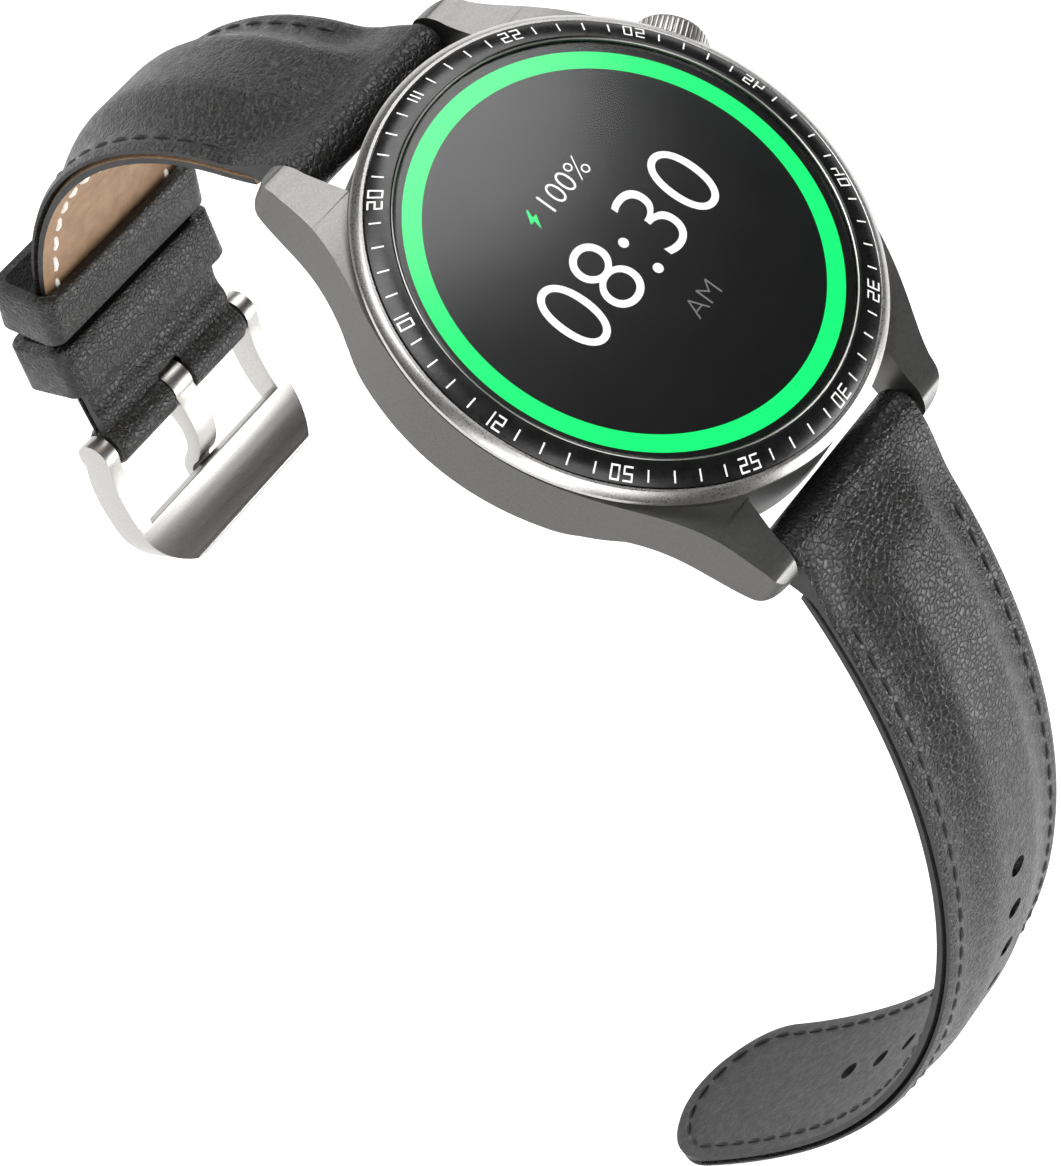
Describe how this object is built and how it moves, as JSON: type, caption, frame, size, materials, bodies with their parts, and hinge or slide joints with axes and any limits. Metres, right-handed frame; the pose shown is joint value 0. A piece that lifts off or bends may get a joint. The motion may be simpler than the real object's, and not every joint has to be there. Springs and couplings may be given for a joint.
{
  "type": "smartwatch",
  "caption": "Round smartwatch with a numbered bezel, fluted crown and open padded leather strap with a pin buckle.",
  "frame": {"origin": "centre of the flat window on the back of the case, where it rests on the wrist", "axes": "+Z out of the display, +Y towards 12 o'clock and the buckle half of the strap, +X towards 3 o'clock and the crown"},
  "size_m": [0.0515, 0.1205, 0.1221],
  "materials": {
    "case_metal": "bead-blasted grey metal with a brighter satin edge",
    "gunmetal": "polished dark grey metal",
    "steel": "plain turned steel",
    "bezel_black": "glossy black ceramic with white markings",
    "cover_glass": "clear, smoked by the dark display beneath it",
    "display": "black display with lit figures and a green ring",
    "sensor_glass": "dark glass over the sensors",
    "dark_plastic": "fine matte moulding",
    "circuit_board": "green solder mask",
    "cell_foil": "foil wrapped cell",
    "seal_rubber": "soft black rubber",
    "gold_contact": "gold plated",
    "black_leather": "black grained leather with painted edges and stitching",
    "tan_leather": "smooth brown lining leather with pale stitching"
  },
  "bodies": {
    "case": {"mid_case": "case_metal", "bezel_ring": "case_metal", "bezel_insert": "bezel_black", "cover_glass": "cover_glass", "display_panel": "display", "inner_frame": "dark_plastic", "main_board": "circuit_board", "battery": "cell_foil", "vibration_motor": "steel", "speaker": "dark_plastic", "case_seal": "seal_rubber", "rear_cover": "dark_plastic", "sensor_window": "sensor_glass", "sensor_board": "circuit_board", "charging_pin_1": "gold_contact", "charging_pin_2": "gold_contact", "rear_screw_1": "steel", "rear_screw_2": "steel", "rear_screw_3": "steel", "rear_screw_4": "steel", "crown_tube": "steel", "crown_switch": "dark_plastic", "buckle_side_spring_bar": "steel", "tail_side_spring_bar": "steel"},
    "crown_plunger": {"crown_plunger": "dark_plastic"},
    "crown": {"crown_cap": "gunmetal", "crown_stem": "steel"},
    "buckle_strap": {"buckle_strap_outer": "black_leather", "buckle_strap_lining": "tan_leather", "fixed_keeper": "black_leather"},
    "tail_strap": {"tail_strap_outer": "black_leather", "tail_strap_lining": "black_leather"},
    "free_keeper": {"free_keeper": "black_leather"},
    "buckle": {"buckle_frame": "gunmetal", "buckle_bar": "steel"},
    "tongue": {"buckle_tongue": "gunmetal"},
    "buckle_side_left_pin": {"buckle_side_spring_bar_left_pin": "steel"},
    "buckle_side_right_pin": {"buckle_side_spring_bar_right_pin": "steel"},
    "tail_side_left_pin": {"tail_side_spring_bar_left_pin": "steel"},
    "tail_side_right_pin": {"tail_side_spring_bar_right_pin": "steel"}
  },
  "joints": [
    {"name": "buckle_strap_swing", "type": "hinge", "parent": "case", "child": "buckle_strap", "pos_m": [0, 0.027, 0.0028], "axis": [1, 0, 0], "range_deg": [-15, 75]},
    {"name": "tail_strap_swing", "type": "hinge", "parent": "case", "child": "tail_strap", "pos_m": [0, -0.027, 0.0028], "axis": [-1, 0, 0], "range_deg": [-15, 75]},
    {"name": "free_keeper_slide", "type": "hinge", "parent": "buckle_strap", "child": "free_keeper", "pos_m": [0, 0.0177, -0.02884], "axis": [1, 0, 0], "range_deg": [0, 66]},
    {"name": "buckle_swing", "type": "hinge", "parent": "buckle_strap", "child": "buckle", "pos_m": [0, 0.03417, -0.0564], "axis": [1, 0, 0], "range_deg": [-80, 45]},
    {"name": "tongue_swing", "type": "hinge", "parent": "buckle", "child": "tongue", "pos_m": [0, 0.03417, -0.0564], "axis": [1, 0, 0], "range_deg": [0, 90]},
    {"name": "crown_press", "type": "slide", "parent": "case", "child": "crown_plunger", "axis": [-0.9272, -0.3746, 0], "range_m": [0, 0.0005], "stiffness_N_per_m": 2000, "springref_m": -0.0005},
    {"name": "crown_turn", "type": "hinge", "parent": "crown_plunger", "child": "crown", "pos_m": [0.02318, 0.00937, 0.0056], "axis": [0.9272, 0.3746, 0], "continuous": true},
    {"name": "buckle_side_left_pin_press", "type": "slide", "parent": "case", "child": "buckle_side_left_pin", "axis": [1, 0, 0], "range_m": [0, 0.0015], "stiffness_N_per_m": 400, "springref_m": -0.001},
    {"name": "buckle_side_right_pin_press", "type": "slide", "parent": "case", "child": "buckle_side_right_pin", "axis": [-1, 0, 0], "range_m": [0, 0.0015], "stiffness_N_per_m": 400, "springref_m": -0.001},
    {"name": "tail_side_left_pin_press", "type": "slide", "parent": "case", "child": "tail_side_left_pin", "axis": [1, 0, 0], "range_m": [0, 0.0015], "stiffness_N_per_m": 400, "springref_m": -0.001},
    {"name": "tail_side_right_pin_press", "type": "slide", "parent": "case", "child": "tail_side_right_pin", "axis": [-1, 0, 0], "range_m": [0, 0.0015], "stiffness_N_per_m": 400, "springref_m": -0.001}
  ]
}
